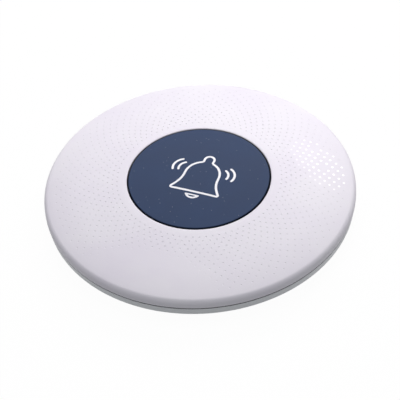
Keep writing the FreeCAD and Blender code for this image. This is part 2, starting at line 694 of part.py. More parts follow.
def base_cover():
    """Pan under the cover: visible band, foot groove, door bore, cell cradle, posts and pillars."""
    body = new_body("base_cover")
    lathe(body, [
        ("Worked.door_bore", "Worked.base_bottom"),
        ("Worked.foot_groove_inner", "Worked.base_bottom"),
        ("Worked.foot_groove_inner", "Sizes.foot_thickness"),
        ("Worked.foot_groove_outer", "Sizes.foot_thickness"),
        ("Worked.foot_groove_outer", "Worked.base_bottom"),
        ("Worked.base_flat_radius", "Worked.base_bottom"),
        ("Worked.band_radius", "Worked.band_bottom"),
        ("Worked.parting_radius", "Worked.base_top"),
        ("Worked.inner_radius", "Worked.base_top"),
        ("Worked.inner_radius", "Worked.floor_top + Sizes.base_inner_rise"),
        ("Worked.inner_radius - Sizes.base_inner_inset", "Worked.floor_top"),
        ("Worked.cradle_outer", "Worked.floor_top"),
        ("Worked.cradle_outer", "Worked.cradle_top"),
        ("Worked.cradle_inner", "Worked.cradle_top"),
        ("Worked.cradle_inner", "Worked.chamber_top"),
        ("Worked.chamber_radius", "Worked.chamber_top"),
        ("Worked.chamber_radius", "Worked.floor_top"),
        ("Worked.door_bore", "Worked.floor_top"),
    ])
    round_edges(body, [("Worked.band_radius", "Worked.band_bottom")], "Sizes.band_fillet", "band_round")
    round_edges(body, [("Worked.base_flat_radius", "Worked.base_bottom")],
                "Sizes.base_edge_fillet", "base_round")

    place = polar("Worked.boss_circle", "Sizes.housing_screw_angle")
    pillar = new_sketch(body, "pillar", "XY_Plane", "Sizes.foot_thickness")
    add_circle(pillar, place, "Sizes.pillar_diameter / 2")
    column = extrude(body, "Pad", pillar, "Worked.pillar_top - Sizes.foot_thickness")
    sink = new_sketch(body, "screw_sink", "XY_Plane", "Sizes.foot_thickness")
    add_circle(sink, place, "Sizes.housing_screw_head_diameter / 2 + Sizes.screw_clearance")
    head_room = extrude(body, "Pocket", sink, "Worked.screw_seat - Sizes.foot_thickness", reverse=True)
    passage = new_sketch(body, "screw_passage", "XY_Plane", "Worked.screw_seat")
    add_circle(passage, place, "Sizes.housing_screw_diameter / 2 + Sizes.screw_clearance")
    through = extrude(body, "Pocket", passage, "Worked.pillar_top - Worked.screw_seat + Sizes.overrun",
                      reverse=True)
    polar_copies(body, [column, head_room, through], "Sizes.housing_screw_count", "pillars")

    place = polar("Worked.board_screw_circle", "Sizes.board_screw_angle")
    post = new_sketch(body, "board_post", "XY_Plane", "Worked.floor_top - Sizes.base_floor_thickness / 4")
    add_circle(post, place, "Sizes.board_post_diameter / 2")
    upright = extrude(body, "Pad", post,
                      "Worked.board_bottom - Worked.floor_top + Sizes.base_floor_thickness / 4")
    pilot = new_sketch(body, "post_pilot", "XY_Plane", "Worked.board_bottom")
    add_circle(pilot, place, "Sizes.board_screw_diameter / 2 + Sizes.screw_clearance")
    hole = extrude(body, "Pocket", pilot,
                   "Sizes.board_screw_length - Sizes.board_thickness + Sizes.pilot_spare")
    polar_copies(body, [upright, hole], "Sizes.board_screw_count", "board_posts")

    notch = new_sketch(body, "lug_notch", "XY_Plane", "Worked.base_bottom")
    add_rectangle(notch, "Worked.door_radius - Sizes.overrun", "Worked.chamber_radius",
                  "Sizes.lug_width + 2 * Sizes.lug_notch_clearance")
    notch.setExpression("AttachmentOffset.Rotation.Angle", "Sizes.door_open_angle * 1deg")
    opening = extrude(body, "Pocket", notch, "Sizes.base_floor_thickness", reverse=True)
    polar_copies(body, [opening], "Sizes.lug_count", "lug_notches")

    bay = new_sketch(body, "leaf_bay", "XY_Plane", "Worked.chamber_top - Sizes.overrun")
    bay.setExpression("AttachmentOffset.Rotation.Angle", "Sizes.leaf_angle * 1deg")
    add_rectangle(bay, "Worked.cell_radius", "Worked.cradle_inner + Sizes.leaf_bay_depth",
                  "Sizes.leaf_width + 2 * Sizes.leaf_bay_clearance")
    extrude(body, "Pocket", bay, "Sizes.cradle_height + 2 * Sizes.overrun", reverse=True)
    return body


def housing_seal():
    """Flat gasket between the two shells, whose edge is the dark parting line."""
    body = new_body("housing_seal")
    inner = "Worked.inner_radius + Sizes.seal_inset"
    lathe(body, [
        (inner, "Worked.base_top"),
        (f"{inner} + Sizes.seal_width", "Worked.base_top"),
        (f"{inner} + Sizes.seal_width", "Worked.cover_bottom"),
        (inner, "Worked.cover_bottom"),
    ])
    return body


def foot_ring():
    """Non-slip ring in the groove of the base."""
    body = new_body("foot_ring")
    lathe(body, [
        ("Worked.foot_inner + Sizes.foot_chamfer", "0"),
        ("Worked.foot_outer - Sizes.foot_chamfer", "0"),
        ("Worked.foot_outer", "Sizes.foot_chamfer"),
        ("Worked.foot_outer", "Sizes.foot_thickness"),
        ("Worked.foot_inner", "Sizes.foot_thickness"),
        ("Worked.foot_inner", "Sizes.foot_chamfer"),
    ])
    return body


def battery_door():
    """Round quarter-turn door with a seal groove, three lugs and a coin slot."""
    body = new_body("battery_door")
    groove_floor = "Worked.door_seal_ring - Sizes.door_seal_section / 2 - Sizes.door_seal_slack"
    groove_half = "(Sizes.door_seal_section / 2 + Sizes.door_seal_slack)"
    lathe(body, [
        ("0", "Worked.door_bottom"),
        ("Worked.door_radius", "Worked.door_bottom"),
        ("Worked.door_radius", f"Worked.door_middle - {groove_half}"),
        (groove_floor, f"Worked.door_middle - {groove_half}"),
        (groove_floor, f"Worked.door_middle + {groove_half}"),
        ("Worked.door_radius", f"Worked.door_middle + {groove_half}"),
        ("Worked.door_radius", "Worked.door_rim_top"),
        ("Worked.door_radius - Sizes.door_rim_wall", "Worked.door_rim_top"),
        ("Worked.door_radius - Sizes.door_rim_wall", "Worked.floor_top"),
        ("0", "Worked.floor_top"),
    ])
    lug = new_sketch(body, "lug", "XY_Plane", "Worked.floor_top + Sizes.lug_clearance")
    add_rectangle(lug, "Worked.door_radius - Sizes.door_rim_wall / 2", "Worked.lug_outer", "Sizes.lug_width")
    tab = extrude(body, "Pad", lug, "Sizes.door_rim_height - Sizes.lug_clearance")
    polar_copies(body, [tab], "Sizes.lug_count", "lugs")
    slot = new_sketch(body, "coin_slot", "XY_Plane", "Worked.door_bottom")
    add_rectangle(slot, "-Sizes.coin_slot_length / 2", "Sizes.coin_slot_length / 2", "Sizes.coin_slot_width")
    extrude(body, "Pocket", slot, "Sizes.coin_slot_depth", reverse=True)
    return body


def door_seal():
    """O-ring in the door's groove."""
    ring = doc.addObject("Part::Torus", "door_seal")
    ring.setExpression("Radius1", "Worked.door_seal_ring")
    ring.setExpression("Radius2", "Sizes.door_seal_section / 2")
    put(ring, ("0", "0", "Worked.door_middle"))
    return ring


def coin_cell():
    """Button cell, its narrower face up."""
    body = new_body("coin_cell")
    lathe(body, [
        ("0", "Worked.cell_bottom"),
        ("Worked.cell_radius", "Worked.cell_bottom"),
        ("Worked.cell_radius", "Worked.cell_top - Sizes.cell_cap_height"),
        ("Worked.cell_radius - Sizes.cell_cap_inset", "Worked.cell_top - Sizes.cell_cap_height"),
        ("Worked.cell_radius - Sizes.cell_cap_inset", "Worked.cell_top"),
        ("0", "Worked.cell_top"),
    ])
    return body


def negative_contact():
    """Conical spring washer between the cell and the board."""
    body = new_body("negative_contact")
    inner = "Sizes.washer_inner_diameter / 2"
    outer = "Sizes.washer_outer_diameter / 2"
    lathe(body, [
        (inner, "Worked.cell_top + Sizes.leaf_clearance"),
        (outer, "Worked.board_bottom - Sizes.washer_thickness"),
        (outer, "Worked.board_bottom"),
        (inner, "Worked.cell_top + Sizes.leaf_clearance + Sizes.washer_thickness"),
    ])
    return body


def positive_contact():
    """Leaf that hangs from the board beside the cell's rim."""
    reach = "(Worked.cell_radius + Sizes.leaf_clearance)"
    leg_middle = polar(f"{reach} + Sizes.leaf_thickness / 2", "Sizes.leaf_angle")
    foot_middle = polar(f"{reach} + Sizes.leaf_foot / 2", "Sizes.leaf_angle")
    leg_bottom = "Worked.chamber_top + Sizes.leaf_thickness"
    leg = box("leaf_leg", "Sizes.leaf_thickness", "Sizes.leaf_width", f"Worked.board_bottom - ({leg_bottom})",
              leg_middle + (leg_bottom,), "Sizes.leaf_angle")
    foot = box("leaf_foot", "Sizes.leaf_foot", "Sizes.leaf_width", "Sizes.leaf_thickness",
               foot_middle + ("Worked.board_bottom - Sizes.leaf_thickness",), "Sizes.leaf_angle")
    return fuse("positive_contact", [leg, foot])


def circuit_board():
    """Round board with its screw holes."""
    body = new_body("circuit_board")
    outline = new_sketch(body, "board_outline", "XY_Plane", "Worked.board_bottom")
    add_circle(outline, ("0 * Sizes.overrun", "0 * Sizes.overrun"), "Worked.board_radius")
    extrude(body, "Pad", outline, "Sizes.board_thickness")
    drill = new_sketch(body, "board_drill", "XY_Plane", "Worked.board_bottom")
    add_circle(drill, polar("Worked.board_screw_circle", "Sizes.board_screw_angle"),
               "Sizes.board_screw_diameter / 2 + Sizes.board_hole_clearance")
    hole = extrude(body, "Pocket", drill, "Sizes.board_thickness", reverse=True)
    polar_copies(body, [hole], "Sizes.board_screw_count", "board_holes")
    return body


def screw(name, place, seat, sizes_of, points_up):
    """Pan head screw with a cross recess; its head is under the seat if it points up, else on it."""
    diameter, length, head_diameter, head_height = sizes_of
    depth = f"{head_height} * Sizes.recess_depth_share"
    if points_up:
        shank_base = seat
        head_base = f"{seat} - {head_height}"
        recess_base = f"{seat} - {head_height} - Sizes.overrun"
    else:
        shank_base = f"{seat} - {length}"
        head_base = seat
        recess_base = f"{seat} + {head_height} - {depth}"
    shank = cylinder(f"{name}_shank", f"{diameter} / 2", length, place + (shank_base,))
    head = cylinder(f"{name}_head", f"{head_diameter} / 2", head_height, place + (head_base,))
    bars = [box(f"{name}_bar_{turn}", f"{head_diameter} * Sizes.recess_length_share", "Sizes.recess_width",
                f"{depth} + Sizes.overrun", place + (recess_base,), str(turn)) for turn in (0, 90)]
    return cut(name, fuse(f"{name}_blank", [shank, head]), fuse(f"{name}_cross", bars))


def screw_group(name, circle, first_angle, count, seat, kind, points_up):
    """Equal screws spaced evenly on a circle."""
    sizes_of = [f"Sizes.{kind}_{part}" for part in ("diameter", "length", "head_diameter", "head_height")]
    step = f"360 / {count}"
    screws = [screw(f"{kind}_{index}", polar(circle, f"{first_angle} + {index} * {step}"), seat,
                    sizes_of, points_up) for index in range(int(number(count)))]
    return group(name, screws)


def switch_body():
    """Low tact switch with a round bore for its plunger and four terminals."""
    block = box("switch_block", "Sizes.switch_width", "Sizes.switch_width", "Sizes.switch_height",
                ("0", "0", "Worked.board_top"))
    terminals = []
    for side in (-1, 1):
        for end in (-1, 1):
            across = f"{side} * (Sizes.switch_width / 2 + Sizes.terminal_reach / 2)"
            along = f"{end} * Sizes.terminal_spacing / 2"
            terminals.append(box(f"terminal_{side + 1}_{end + 1}", "Sizes.terminal_reach",
                                 "Sizes.terminal_width", "Sizes.terminal_thickness",
                                 (across, along, "Worked.board_top")))
    depth = "(Sizes.plunger_depth + Sizes.plunger_travel + Sizes.plunger_clearance)"
    bore = cylinder("switch_bore", "Sizes.plunger_diameter / 2 + Sizes.plunger_clearance",
                    f"{depth} + Sizes.overrun", ("0", "0", f"Worked.switch_top - {depth}"))
    return cut("switch_body", fuse("switch_solid", [block] + terminals), bore)


def switch_plunger():
    """Round plunger standing out of the switch."""
    return cylinder("switch_plunger", "Sizes.plunger_diameter / 2",
                    "Sizes.plunger_depth + Sizes.plunger_height",
                    ("0", "0", "Worked.switch_top - Sizes.plunger_depth"))


def return_dome():
    """Silicone dome: a seat ring on the board, a thin conical web and a crown ring under the cap."""
    body = new_body("return_dome")
    seat_outer = "Sizes.dome_seat_diameter / 2"
    seat_inner = "(Sizes.dome_seat_diameter / 2 - Sizes.dome_seat_width)"
    crown_outer = "Sizes.dome_crown_diameter / 2"
    crown_low = "Worked.return_dome_top - Sizes.dome_crown_height"
    seat_top = "Worked.board_top + Sizes.dome_seat_height"
    lathe(body, [
        (seat_outer, "Worked.board_top"),
        (seat_outer, seat_top),
        (f"{seat_inner} + Sizes.dome_web", seat_top),
        (crown_outer, crown_low),
        (crown_outer, "Worked.return_dome_top"),
        (f"{crown_outer} - Sizes.dome_crown_width", "Worked.return_dome_top"),
        (f"{crown_outer} - Sizes.dome_crown_width", crown_low),
        (f"{crown_outer} - Sizes.dome_web", crown_low),
        (seat_inner, seat_top),
        (seat_inner, "Worked.board_top"),
    ])
    return body


def indicator_leds():
    """Two small lamps that face the light guide's inner edge."""
    lamps = []
    for index, side in enumerate((-1, 1)):
        angle = f"Sizes.patch_angle + {side} * Sizes.led_spread_angle"
        middle = polar("Worked.board_radius - Sizes.led_inset", angle)
        case = box(f"led_case_{index}", "Sizes.led_depth", "Sizes.led_width", "Sizes.led_height",
                   middle + ("Worked.board_top",), angle)
        lens = box(f"led_lens_{index}", "Sizes.led_depth - 2 * Sizes.led_lens_inset",
                   "Sizes.led_width - 2 * Sizes.led_lens_inset", "Sizes.led_lens_height",
                   middle + ("Worked.board_top + Sizes.led_height",), angle)
        lamps.append(fuse(f"led_{index}", [case, lens]))
    return group("indicator_leds", lamps)


def board_block(name, length, width, height, radius, angle):
    """A rectangular component standing on the board."""
    return box(name, length, width, height, polar(radius, angle) + ("Worked.board_top",), angle)


def chip_passives():
    """Small resistors and capacitors in an arc on the board."""
    blocks = []
    for index in range(int(number("Sizes.passive_count"))):
        angle = f"Sizes.board_screw_angle + Sizes.passive_turn + {index} * Sizes.passive_step_angle"
        blocks.append(board_block(f"passive_{index}", "Sizes.passive_length", "Sizes.passive_width",
                                  "Sizes.passive_height", "Worked.chip_circle", angle))
    return group("chip_passives", blocks)


def antenna_coil():
    """Sleeve of the antenna's outer size, hung under the board on two legs."""
    angle = math.radians(number("Sizes.antenna_angle"))
    along = FreeCAD.Vector(-math.sin(angle), math.cos(angle), 0)
    level = "Worked.board_bottom - Sizes.antenna_gap - Sizes.antenna_diameter / 2"
    middle = polar("Worked.antenna_circle", "Sizes.antenna_angle")

    def station(offset):
        """Point on the sleeve's axis at a distance from its middle."""
        return (f"{middle[0]} - ({offset}) * sin(Sizes.antenna_angle * 1deg)",
                f"{middle[1]} + ({offset}) * cos(Sizes.antenna_angle * 1deg)", level)

    sleeves = []
    tubes = (("antenna_outside", "Sizes.antenna_diameter"), ("antenna_inside", "Sizes.antenna_bore"))
    for name, diameter in tubes:
        sleeve = cylinder(name, f"{diameter} / 2", "Sizes.antenna_length")
        sleeve.Placement = FreeCAD.Placement(FreeCAD.Vector(0, 0, 0), FreeCAD.Rotation(Z_AXIS, along))
        put(sleeve, station("-Sizes.antenna_length / 2"))
        sleeves.append(sleeve)
    tube = cut("antenna_tube", sleeves[0], sleeves[1])
    legs = []
    for index, side in enumerate((-1, 1)):
        foot = station(f"{side} * (Sizes.antenna_length / 2 - Sizes.antenna_leg_inset)")
        leg_base = f"{level} + (Sizes.antenna_diameter + Sizes.antenna_bore) / 4"
        legs.append(cylinder(f"antenna_leg_{index}", "Sizes.antenna_leg_diameter / 2",
                             f"Worked.board_bottom - ({leg_base})", foot[:2] + (leg_base,)))
    return fuse("antenna_coil", [tube] + legs)


def check(nodes):
    """Stop at any failed object or bad solid."""
    for thing in doc.Objects:
        bad = [word for word in thing.State if word in ("Invalid", "Error")]
        if bad:
            raise RuntimeError(f"{thing.Name}: {thing.State}")
    for name, node in nodes.items():
        if node.Shape.isNull() or not node.Shape.isValid() or not node.Shape.Solids:
            raise RuntimeError(f"{name} has no valid solid")


def main():
    """Build every piece, check it and write one STEP file each."""
    middle, tilt, dots, stakes = patch_dots()
    print(f"indicator dots: {len(dots)}")
    pieces = [
        top_cover(dots, stakes),
        light_guide(middle, tilt, dots, stakes),
        button_cap(),
        base_cover(),
        housing_seal(),
        foot_ring(),
        battery_door(),
        door_seal(),
        coin_cell(),
        negative_contact(),
        positive_contact(),
        circuit_board(),
        screw_group("board_screws", "Worked.board_screw_circle", "Sizes.board_screw_angle",
                    "Sizes.board_screw_count", "Worked.board_top", "board_screw", False),
        screw_group("housing_screws", "Worked.boss_circle", "Sizes.housing_screw_angle",
                    "Sizes.housing_screw_count", "Worked.screw_seat", "housing_screw", True),
        switch_body(),
        switch_plunger(),
        return_dome(),
        indicator_leds(),
        board_block("radio_chip", "Sizes.chip_width", "Sizes.chip_width", "Sizes.chip_height",
                    "Worked.chip_circle", "Sizes.board_screw_angle + Sizes.chip_turn"),
        board_block("crystal", "Sizes.crystal_length", "Sizes.crystal_width", "Sizes.crystal_height",
                    "Worked.chip_circle", "Sizes.board_screw_angle + Sizes.crystal_turn"),
        chip_passives(),
        antenna_coil(),
    ]
    doc.recompute()
    nodes = {piece.Label: piece for piece in pieces}
    check(nodes)
    os.makedirs("parts", exist_ok=True)
    for name, node in nodes.items():
        shape = node.Shape
        shape.exportStep(f"parts/{name}.step")
        bounds = shape.BoundBox
        print(f"{name}: {len(shape.Solids)} solids, {shape.Volume:.1f} mm3, "
              f"z {bounds.ZMin:.2f} to {bounds.ZMax:.2f}")


main()
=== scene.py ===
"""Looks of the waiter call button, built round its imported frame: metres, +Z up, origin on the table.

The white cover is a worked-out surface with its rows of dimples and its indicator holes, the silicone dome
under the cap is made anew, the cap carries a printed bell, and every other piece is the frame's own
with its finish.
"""
import json
import math

import bmesh
import bpy
import numpy as np
from mathutils import Matrix, Vector


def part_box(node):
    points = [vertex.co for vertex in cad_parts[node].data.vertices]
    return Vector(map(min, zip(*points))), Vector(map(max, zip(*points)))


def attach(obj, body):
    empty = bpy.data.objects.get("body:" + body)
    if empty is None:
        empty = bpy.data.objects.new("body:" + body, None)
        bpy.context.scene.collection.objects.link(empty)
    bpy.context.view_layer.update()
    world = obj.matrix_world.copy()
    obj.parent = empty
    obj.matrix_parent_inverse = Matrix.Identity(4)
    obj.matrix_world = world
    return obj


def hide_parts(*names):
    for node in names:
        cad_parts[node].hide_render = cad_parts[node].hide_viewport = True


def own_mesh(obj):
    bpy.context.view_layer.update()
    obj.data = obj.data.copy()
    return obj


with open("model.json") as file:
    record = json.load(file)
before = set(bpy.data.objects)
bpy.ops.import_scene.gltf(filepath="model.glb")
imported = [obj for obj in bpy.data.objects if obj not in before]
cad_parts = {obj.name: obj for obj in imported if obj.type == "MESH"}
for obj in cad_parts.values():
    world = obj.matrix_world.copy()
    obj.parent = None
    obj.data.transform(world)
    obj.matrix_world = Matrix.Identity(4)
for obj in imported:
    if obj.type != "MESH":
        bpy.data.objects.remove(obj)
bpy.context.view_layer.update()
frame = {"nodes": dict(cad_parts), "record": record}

MM = 0.001

# Body, from the frame
BODY_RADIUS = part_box("top_cover")[1][0]
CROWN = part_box("button_cap")[1][2]
COVER_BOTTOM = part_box("housing_seal")[1][2]

# Cover: its outside, its wall and the guide ring that hangs round the opening
SIDE_HEIGHT = 2.65 * MM
SIDE_WALL = 1.9 * MM
COVER_WALL = 1.6 * MM
RIM_FILLET = 1.5 * MM
LOWER_FILLET = 0.45 * MM
OPENING_RADIUS = 20.27 * MM
OPENING_FILLET = 0.35 * MM
SEAT_THICKNESS = 1.9 * MM
GUIDE_INNER = 21.77 * MM
GUIDE_WALL = 1.5 * MM
GUIDE_DEPTH = 1.1 * MM
RIM_LEVEL = COVER_BOTTOM + SIDE_HEIGHT
DOME_RISE = CROWN - RIM_LEVEL
DOME_RADIUS = (BODY_RADIUS ** 2 + DOME_RISE ** 2) / (2 * DOME_RISE)
DOME_CENTRE = CROWN - DOME_RADIUS

# Rows of dimples on the dome, and the patch of them that is pierced for the light guide's pegs
ROW_COUNT = 14
CELLS_PER_ROW = 80
FIRST_ROW = OPENING_RADIUS + 2.88 * MM
ROW_PITCH = 1.34 * MM
ROW_START = math.radians(1.25)
CELL_TURN = 2 * math.pi / CELLS_PER_ROW
DIMPLE, HOLE, PLAIN = range(3)
DIMPLE_RADIUS = 0.24 * MM
DIMPLE_DEPTH = 0.1 * MM
DIMPLE_RING_SHARES = (1.35, 1.0, 0.65)
DIMPLE_SUNK_SHARES = (0.0, 0.0, 1.0)
DIMPLE_FADE_RADII = (27.0 * MM, 41.0 * MM)
DIMPLE_FADE_SHARES = (1.0, 0.6)
SMOOTH_RADIUS = 36.5 * MM
SMOOTH_ANGLE = math.radians(268.0)
SMOOTH_HALF_LENGTH = 17.0 * MM
SMOOTH_HALF_WIDTH = 6.5 * MM
SMOOTH_BORDER_SHARE = 0.35
HOLE_RADIUS = 0.34 * MM
PATCH_CIRCLE = BODY_RADIUS - 9.6 * MM
PATCH_ANGLE = math.radians(28.5)
PATCH_TILT = math.radians(21.0)
PATCH_HALF_LENGTH = 11.75 * MM
PATCH_HALF_WIDTH = 5.7 * MM
PLAIN_SHARES = ((-0.15, 0.03), (0.53, 0.45))
FIRST_INNER_ROW = 1
GLOW_CIRCLE = PATCH_CIRCLE + 0.8 * MM
GLOW_SPAN = (0.4, 1.25)
GLOW_SHARES = (1.0, 0.15)
GLOW_STRENGTH = 0.42

# Silicone return dome under the cap
SEAT_WIDTH = 2.6 * MM
SEAT_HEIGHT = 0.8 * MM
CROWN_REACH = 8.0 * MM
CROWN_WIDTH = 1.8 * MM
CROWN_HEIGHT = 0.6 * MM
WEB = 0.7 * MM

# Gap round the cap, whose walls carry painted shade, and the painted shade of the cover's outer ring in
# front
CAP_GAP = 0.42 * MM
CAP_RADIUS = OPENING_RADIUS - CAP_GAP
# Painted shade in the gap: its walls keep only this share of their colour
GAP_RAMP = (0.03 * MM, 0.06 * MM)
GAP_PAINTED_SHADE_SHARE = 0.3
# Painted shade: the cover's outer ring is darker towards the front
RING_RADII = (34.0 * MM, 42.5 * MM)
RING_REARWARD = (4.0 * MM, 24.0 * MM)
RING_PAINTED_SHADE = 0.06

# Mesh steps: a cell's border has four points to a side, so that the columns of a lathe meet them
LOOP_STEPS = 16
COLUMNS = CELLS_PER_ROW * LOOP_STEPS // 4
FILLET_STEPS = 8
CURVE_STEPS = 24
ROUND_STEPS = 30
WELD = 0.001 * MM
DEGENERATE = WELD / 10
SHARP_ANGLE = math.radians(30)

# Printed bell on the cap, in its own upright frame
PRINT_TURN = math.radians(-1.3)
PRINT_SHIFT = np.array((0.82, -0.15)) * MM
STROKE = 0.7 * MM
CLAPPER_STROKE = 0.65 * MM
CLAPPER_TOP_STROKE = 0.5 * MM
INK_THICKNESS = 0.03 * MM
INK_SINK = 0.03 * MM
INK_SIDES = (-1.0, -0.9, 0.9, 1.0)
STROKE_STEP = 0.12 * MM
FEWEST_STEPS = 8

# Camera, fitted to the photograph's outline and opening
CAMERA_AZIMUTH = math.radians(22.0)
CAMERA_ELEVATION = math.radians(44.56)
CAMERA_ROLL = math.radians(4.32)
CAMERA_DISTANCE = 567.2 * MM
CAMERA_ASIDE = 0.147 * MM
CAMERA_UP = 0.12 * MM
AIM_LEVEL = 3.6 * MM
LENS = 180.0
SENSOR = 36.0
CLIP_SPAN = 20

# Light: a faintly blue surround, faintly pink lamps, and paper that is white where no shadow falls.
# Each lamp has its turn from the camera, its lift in degrees and its power.
SURROUND_TINT = (0.96, 1.0, 1.05)
SURROUND_STRENGTH = 0.306
LAMP_TINT = (1.0, 0.955, 0.975)
LAMP_DISTANCE = 0.7
LAMP_SIZE = 0.35
LAMPS = (
    ("rear_right_light", 150, 36, 2.17),
    ("rear_light", -178, 36, 1.5),
    ("high_light", 180, 88, 1.37),
)
PAPER_GREY = 0.55
PAPER_LIT_SHARE = 0.06
FLOOR_RADIUS = 3.0
FLOOR_CORNERS = 64

# Looks that several finishes share
GRAIN_SCALE = 9000.0
CLOUD_SCALE = 60.0
CLOUD_SPAN = (0.35, 0.65)
DUST_COLOUR = (0.2, 0.22, 0.28)
SHELL_TINTS = ((0.76, 0.735, 0.8), (0.79, 0.775, 0.82))


def dome_level(reach, inset=0.0):
    """Level of the sphere of the dome, or of one inset under it, at a distance from the upright axis."""
    return DOME_CENTRE + np.sqrt((DOME_RADIUS - inset) ** 2 - np.square(reach))


def arc(centre, radius, start, end, steps=FILLET_STEPS):
    """Points on a circle: the centre plus the radius times (cos, sin) of evenly spaced angles."""
    turn = np.linspace(start, end, steps + 1)
    return np.column_stack((centre[0] + radius * np.cos(turn), centre[1] + radius * np.sin(turn)))


def edge_round(reach, radius, start, end):
    """Fillet of the dome's edge: a circle about a centre at this reach that touches the dome from inside.

    None as an end stands for the angle at which the circle meets the dome.
    """
    level = float(dome_level(reach, radius))
    meeting = math.atan2(level - DOME_CENTRE, reach)
    angles = [meeting if angle is None else angle for angle in (start, end)]
    return arc((reach, level), radius, *angles)


def curve(start, first, second, end, steps=CURVE_STEPS):
    """Cubic curve from start to end, drawn towards two points: the Bernstein sum of the four."""
    share = np.linspace(0, 1, steps + 1)[:, None]
    rest = 1 - share
    corners = [np.array(corner) for corner in (start, first, second, end)]
    weights = (rest ** 3, 3 * rest ** 2 * share, 3 * rest * share ** 2, share ** 3)
    return sum(weight * corner for weight, corner in zip(weights, corners))


def new_piece(name, points, faces, body, sharp=SHARP_ANGLE):
    """Weld the points that coincide, smooth the faces and let the piece ride on its body."""
    mesh = bpy.data.meshes.new(name)
    mesh.from_pydata(points.tolist(), [], faces)
    work = bmesh.new()
    work.from_mesh(mesh)
    bmesh.ops.remove_doubles(work, verts=work.verts, dist=WELD)
    bmesh.ops.dissolve_degenerate(work, edges=work.edges, dist=DEGENERATE)
    work.to_mesh(mesh)
    work.free()
    mesh.shade_smooth()
    mesh.set_sharp_from_angle(angle=sharp)
    piece = bpy.data.objects.new(name, mesh)
    bpy.context.scene.collection.objects.link(piece)
    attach(piece, body)
    return piece


def join_blocks(blocks):
    """One list of points and one of faces from several."""
    points = np.concatenate([block[0] for block in blocks])
    faces = []
    start = 0
    for block_points, block_faces in blocks:
        faces += [[corner + start for corner in face] for face in block_faces]
        start += len(block_points)
    return points, faces


def ring_quads(rows, columns):
    """Quads of a grid whose last column meets its first."""
    row, column = np.meshgrid(np.arange(rows - 1), np.arange(columns), indexing="ij")
    beside = (column + 1) % columns
    corners = (row * columns + column, row * columns + beside)
    beyond = ((row + 1) * columns + beside, (row + 1) * columns + column)
    return np.stack(corners + beyond, axis=2).reshape(-1, 4)


def lathe(profile):
    """Grid of a profile turned about the upright axis: (reach cos a, reach sin a, level) at each angle a.

    The profile runs anticlockwise round its section, so that the faces point outwards.
    """
    profile = np.asarray(profile)
    turn = ROW_START + np.arange(COLUMNS) * 2 * math.pi / COLUMNS
    reach = profile[:, :1]
    level = np.broadcast_to(profile[:, 1:], (len(profile), COLUMNS))
    points = np.stack((reach * np.cos(turn), reach * np.sin(turn), level), axis=2).reshape(-1, 3)
    return points, ring_quads(len(profile), COLUMNS).tolist()


def lattice():
    """Radius, angle, kind and row of every cell of the dome.

    Row k lies k pitches outside the first, and every second row is turned by half a step. The cells whose
    centre is inside the patch's ellipse are holes, but the two nearest to fixed places in it are plain.
    """
    row, place = np.meshgrid(np.arange(ROW_COUNT), np.arange(CELLS_PER_ROW), indexing="ij")
    row = row.ravel()
    radius = FIRST_ROW + row * ROW_PITCH
    angle = ROW_START + (place.ravel() + (row % 2) / 2) * CELL_TURN
    axis = PATCH_ANGLE + PATCH_TILT
    east = radius * np.cos(angle) - PATCH_CIRCLE * math.cos(PATCH_ANGLE)
    north = radius * np.sin(angle) - PATCH_CIRCLE * math.sin(PATCH_ANGLE)
    along = north * math.cos(axis) - east * math.sin(axis)
    aside = east * math.cos(axis) + north * math.sin(axis)
    inside = (along / PATCH_HALF_LENGTH) ** 2 + (aside / PATCH_HALF_WIDTH) ** 2 < 1
    kind = np.where(inside, HOLE, DIMPLE)
    for along_share, aside_share in PLAIN_SHARES:
        offset = np.hypot(along - along_share * PATCH_HALF_LENGTH, aside - aside_share * PATCH_HALF_WIDTH)
        kind[np.argmin(np.where(inside, offset, np.inf))] = PLAIN
    return radius, angle, kind, row


def dimple_depths(radius, angle):
    """Depth of each dimple: less towards the rim, and none within the smooth ellipse in front.

    The ellipse's border is soft: the depth grows with the distance from it, in shares of its size.
    """
    outward = radius * np.cos(angle - SMOOTH_ANGLE) - SMOOTH_RADIUS
    across = radius * np.sin(angle - SMOOTH_ANGLE)
    reach = np.hypot(across / SMOOTH_HALF_LENGTH, outward / SMOOTH_HALF_WIDTH)
    clear = np.clip((reach - 1) / SMOOTH_BORDER_SHARE, 0, 1)
    return DIMPLE_DEPTH * clear * np.interp(radius, DIMPLE_FADE_RADII, DIMPLE_FADE_SHARES)


def cell_border(radius, angle, inset):
    """The 16 border points of each cell, a piece of ring one step wide and one pitch deep, on a sphere.

    Both coordinates go round the unit square as clipped triangle waves.
    """
    share = np.arange(LOOP_STEPS) / LOOP_STEPS
    quarter_on = share - 0.25
    across = np.clip(2 - 8 * np.abs(share - np.round(share)), -1, 1)
    outward = np.clip(2 - 8 * np.abs(quarter_on - np.round(quarter_on)), -1, 1)
    reach = radius[:, None] + outward * ROW_PITCH / 2
    turn = angle[:, None] + across * CELL_TURN / 2
    return np.stack((reach * np.cos(turn), reach * np.sin(turn), dome_level(reach, inset)), axis=2)


def cell_ring(radius, angle, size, inset, depth=0.0):
    """A ring of 16 points of this size round each cell's centre, sunk below a sphere by its depth."""
    turn = np.arange(LOOP_STEPS) * 2 * math.pi / LOOP_STEPS
    outward = radius[:, None] + size * np.sin(turn)
    across = size * np.cos(turn)
    east = outward * np.cos(angle[:, None]) - across * np.sin(angle[:, None])
    north = outward * np.sin(angle[:, None]) + across * np.cos(angle[:, None])
    return np.stack((east, north, dome_level(np.hypot(east, north), inset) - depth), axis=2)


